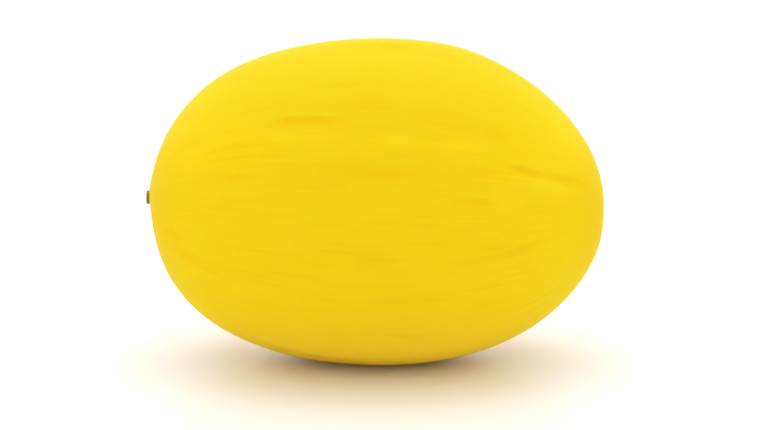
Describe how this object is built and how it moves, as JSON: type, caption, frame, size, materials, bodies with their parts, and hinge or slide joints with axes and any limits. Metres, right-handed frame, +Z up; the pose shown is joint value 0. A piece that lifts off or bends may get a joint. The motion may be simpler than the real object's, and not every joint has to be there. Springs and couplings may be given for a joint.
{
  "type": "canary melon",
  "caption": "Whole oval melon with a smooth, waxy, bright yellow rind, faint lengthwise furrows and a short cut stem stub, lying on its side on a small flat spot.",
  "frame": {"origin": "on the surface the melon rests on, under the middle of its length and width", "axes": "+X along the melon's long axis, from the stem end to the blossom end; +Y across it, away from the side that faces the viewer; +Z up"},
  "size_m": [0.2002, 0.1456, 0.143],
  "materials": {
    "rind": "satin",
    "dry_stem": "matte"
  },
  "bodies": {
    "root": {"fruit": "rind", "stem_stub": "dry_stem"}
  },
  "joints": []
}
